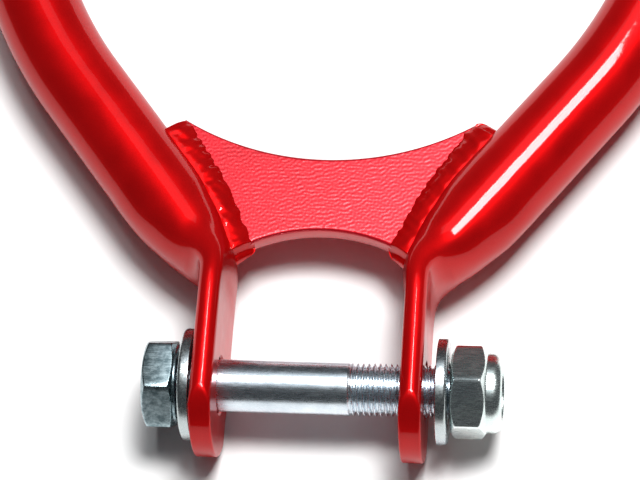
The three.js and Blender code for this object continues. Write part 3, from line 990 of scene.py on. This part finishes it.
dress(add_gusset(), PLATE_PAINT_PAINTED_TINT, "red_paint", "arm", "gusset_plate")
dress(add_bolt(), BOLT_ZINC, "zinc_plate", "bolt", "clevis_bolt")
head_side = add_washer("washer_head_side", HEAD_WASHER_X, HEAD_WASHER_RADIUS, -1)
dress(head_side, FLAT_ZINC, "zinc_plate", "head_washer", "head_washer")
nut_side = add_washer("washer_nut_side", NUT_WASHER_X, NUT_WASHER_RADIUS, 1)
dress(nut_side, FLAT_ZINC, "zinc_plate", "nut_washer", "nut_washer")
dress(add_nut(), NUT_ZINC, "zinc_plate", "nut", "lock_nut")
dress(add_nylon(), NYLON, "nylon", "nut", "nylon_insert")

# ---- Floor, light and camera ----


FLOOR_DROP = 0.0002


def add_floor():
    """A large plain floor just under the arm."""
    mesh = bpy.data.meshes.new("floor")
    half = 6.0
    corners = [(-half, -half, 0), (half, -half, 0), (half, half, 0), (-half, half, 0)]
    mesh.from_pydata(corners, [], [(0, 1, 2, 3)])
    floor = bpy.data.objects.new("floor", mesh)
    floor.location.z = -FLOOR_DROP
    bpy.context.scene.collection.objects.link(floor)
    n = Nodes("pale_floor")
    tone = n.ranged(n.noise(6, 2), 0.3, 0.7, 0, 1)
    n.set(Base_Color=n.mixed(tone, (0.86, 0.855, 0.85, 1), (0.88, 0.875, 0.87, 1)))
    n.set(Roughness=1.0, Specular_IOR_Level=0.0)
    mesh.materials.append(n.material)


def add_area_light(name, direction, distance, size, length_along, power, colour=(1, 1, 1)):
    """A rectangular light that faces the arm's middle, its long side along length_along."""
    data = bpy.data.lights.new(name, "AREA")
    data.shape = "RECTANGLE"
    data.size, data.size_y = size
    data.energy = power
    data.color = colour
    light = bpy.data.objects.new(name, data)
    back = Vector(direction).normalized()
    long_way = Vector(length_along)
    long_way = (long_way - long_way.dot(back) * back).normalized()
    short_way = long_way.cross(back)
    turn = Matrix((short_way, long_way, back)).transposed().to_4x4()
    light.matrix_world = Matrix.Translation(AIM + back * distance) @ turn
    light.visible_camera = False
    bpy.context.scene.collection.objects.link(light)


AIM = Vector(BOLT_AT + np.array([0, 60, 0]) * MM)

add_floor()
add_area_light(
    "key",
    direction=(0.205, 0.165, 0.966),
    distance=1.5,
    size=(0.50, 0.50),
    length_along=(0.6, 0.8, 0),
    power=31,
)
add_area_light(
    "rim",
    direction=(-0.12, 0.15, 0.98),
    distance=1.5,
    size=(0.15, 0.30),
    length_along=(0, 1, 0),
    power=2,
)
add_area_light(
    "ceiling",
    direction=(0.0, 0.21, 0.978),
    distance=1.3,
    size=(0.45, 1.6),
    length_along=(0, 1, 0),
    power=1.7,
    colour=(0.84, 0.93, 1.0),
)

world = bpy.data.worlds.new("studio")
bpy.context.scene.world = world
world.use_nodes = True
background = world.node_tree.nodes["Background"]
background.inputs["Color"].default_value = (0.86, 0.94, 1.0, 1)
background.inputs["Strength"].default_value = 0.05

# The camera stands in front of the clevis, high up, turned a little about its own axis.
AZIMUTH, ELEVATION, ROLL = math.radians(14.84), math.radians(65), math.radians(12.12)
DISTANCE = 0.6757
LENS, SENSOR = 168.75, 36
OFF_AXIS = (-1.884 * MM, -33.333 * MM)  # of the bolt's middle from the middle of the view

to_camera = Vector(
    (
        math.sin(AZIMUTH) * math.cos(ELEVATION),
        -math.cos(AZIMUTH) * math.cos(ELEVATION),
        math.sin(ELEVATION),
    )
)
level_right = Vector((math.cos(AZIMUTH), math.sin(AZIMUTH), 0))
level_up = to_camera.cross(level_right)
right = level_right * math.cos(ROLL) - level_up * math.sin(ROLL)
up = level_right * math.sin(ROLL) + level_up * math.cos(ROLL)
camera_data = bpy.data.cameras.new("camera")
camera_data.lens = LENS
camera_data.sensor_width = SENSOR
camera = bpy.data.objects.new("camera", camera_data)
place = Vector(BOLT_AT) + to_camera * DISTANCE - right * OFF_AXIS[0] - up * OFF_AXIS[1]
turn = Matrix((right, up, to_camera)).transposed().to_4x4()
camera.matrix_world = Matrix.Translation(place) @ turn
bpy.context.scene.collection.objects.link(camera)
bpy.context.scene.camera = camera
bpy.context.scene.view_settings.view_transform = "Standard"
